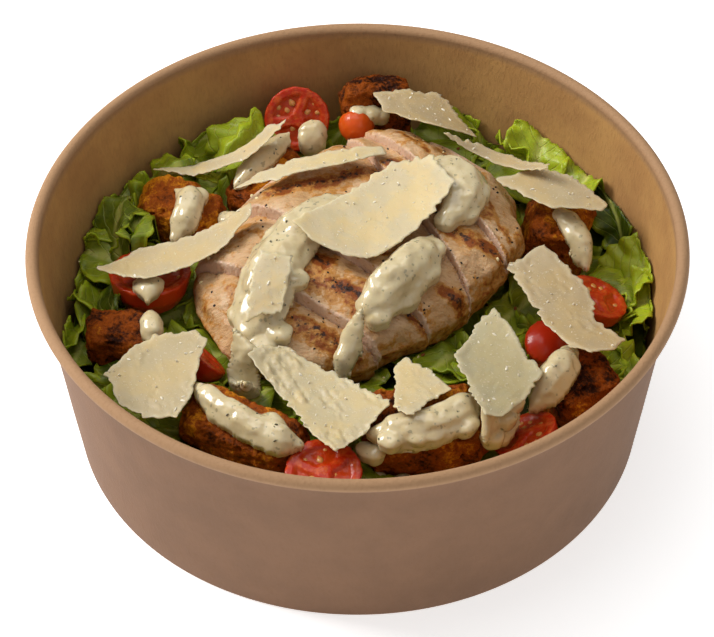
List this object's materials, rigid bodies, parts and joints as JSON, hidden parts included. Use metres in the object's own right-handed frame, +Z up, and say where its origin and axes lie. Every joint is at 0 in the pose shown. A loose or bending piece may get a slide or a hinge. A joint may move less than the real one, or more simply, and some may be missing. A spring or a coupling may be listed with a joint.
{
  "type": "chicken caesar salad in a paper bowl",
  "caption": "Chicken caesar salad in a round kraft paper bowl: sliced grilled breast over leaves, with croutons, halved tomatoes, cheese shavings and creamy dressing.",
  "frame": {"origin": "centre of the bowl's foot, on the surface that it stands on", "axes": "+Z up, +X to the diner's right, +Y away from the diner"},
  "size_m": [0.184, 0.184, 0.066],
  "materials": {
    "kraft_board": "uncoated brown kraft paperboard",
    "salad_leaf": "fresh lettuce leaves, slightly waxy",
    "chicken": "grilled chicken breast, moist",
    "crouton": "fried bread, rough and dark",
    "tomato": "cherry tomato, smooth skin and wet cut face",
    "dressing": "thick creamy dressing",
    "parmesan": "hard cheese shavings, waxy"
  },
  "bodies": {
    "root": {"bowl_base": "kraft_board", "bowl_wall": "kraft_board", "chicken_slice_1": "chicken", "chicken_slice_2": "chicken", "chicken_slice_3": "chicken", "chicken_slice_4": "chicken", "chicken_slice_5": "chicken", "crouton_back": "crouton", "crouton_back_left": "crouton", "crouton_front": "crouton", "crouton_front_left": "crouton", "crouton_left_back": "crouton", "crouton_left_front": "crouton", "crouton_right_back": "crouton", "crouton_right_front": "crouton", "dressing_back_blob": "dressing", "dressing_back_left": "dressing", "dressing_front": "dressing", "dressing_front_drip": "dressing", "dressing_front_left": "dressing", "dressing_front_right": "dressing", "dressing_left_back": "dressing", "dressing_left_drip": "dressing", "dressing_left_front": "dressing", "dressing_left_trail": "dressing", "dressing_on_tomato": "dressing", "dressing_right_back": "dressing", "dressing_right_blob": "dressing", "dressing_right_front": "dressing", "dressing_teardrop": "dressing", "salad_leaves": "salad_leaf", "shaving_back_left": "parmesan", "shaving_back_right": "parmesan", "shaving_centre": "parmesan", "shaving_far_left": "parmesan", "shaving_far_right": "parmesan", "shaving_front": "parmesan", "shaving_front_left": "parmesan", "shaving_front_right": "parmesan", "shaving_left": "parmesan", "shaving_left_front": "parmesan", "shaving_right": "parmesan", "shaving_right_back": "parmesan", "shaving_trail": "parmesan", "tomato_back": "tomato", "tomato_back_left": "tomato", "tomato_front": "tomato", "tomato_front_left": "tomato", "tomato_front_right": "tomato", "tomato_left": "tomato", "tomato_right": "tomato", "tomato_right_low": "tomato"}
  },
  "joints": []
}
